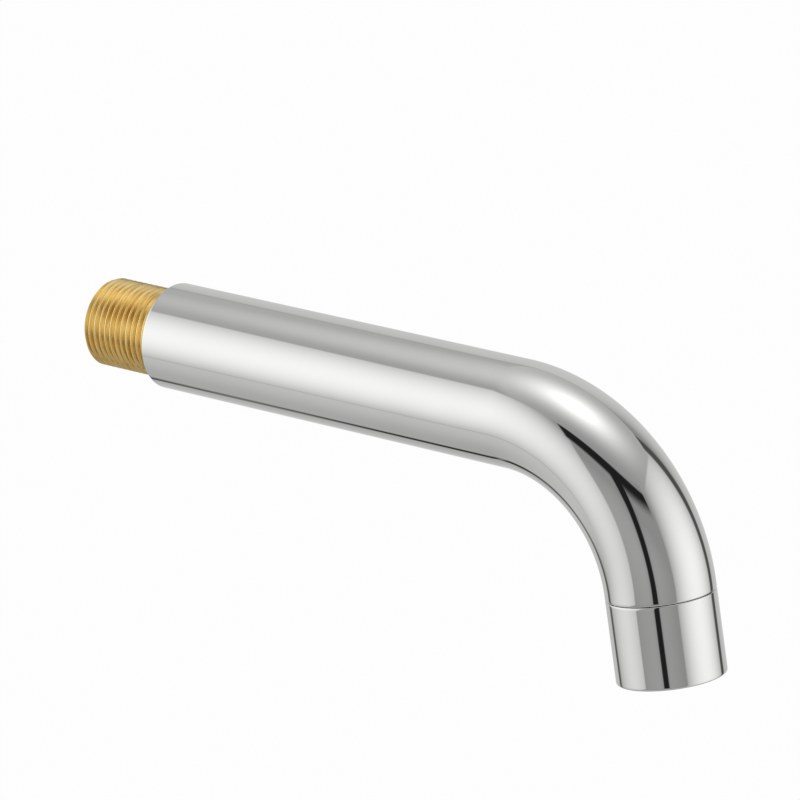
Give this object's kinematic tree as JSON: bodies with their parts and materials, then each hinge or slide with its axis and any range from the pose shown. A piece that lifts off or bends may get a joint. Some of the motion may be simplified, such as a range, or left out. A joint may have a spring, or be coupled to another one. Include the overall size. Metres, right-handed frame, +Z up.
{
  "type": "wall spout",
  "caption": "Bent chromed tube spout that stands out from a wall and turns down to a screwed-on aerator sleeve, with a brass male-threaded nipple for the pipe in the wall.",
  "frame": {"origin": "centre of the tube's wall end, on the axis of the threaded nipple, in the plane of the wall", "axes": "+Y along the nipple into the wall, +Z up, so the spout reaches out along -Y and turns down; X is across"},
  "size_m": [0.025, 0.1751, 0.0675],
  "materials": {
    "chrome_plate": "polished",
    "raw_brass": "satin",
    "black_rubber": "matte",
    "white_moulding": "satin",
    "steel_mesh": "satin"
  },
  "bodies": {
    "root": {"spout_tube": "chrome_plate", "wall_nipple": "raw_brass", "outlet_bush": "raw_brass", "aerator_housing": "chrome_plate", "sealing_washer": "black_rubber", "inlet_strainer": "white_moulding", "jet_plate": "white_moulding", "insert_body": "white_moulding", "upper_screen": "steel_mesh", "screen_spacer": "white_moulding", "lower_screen": "steel_mesh"}
  },
  "joints": []
}
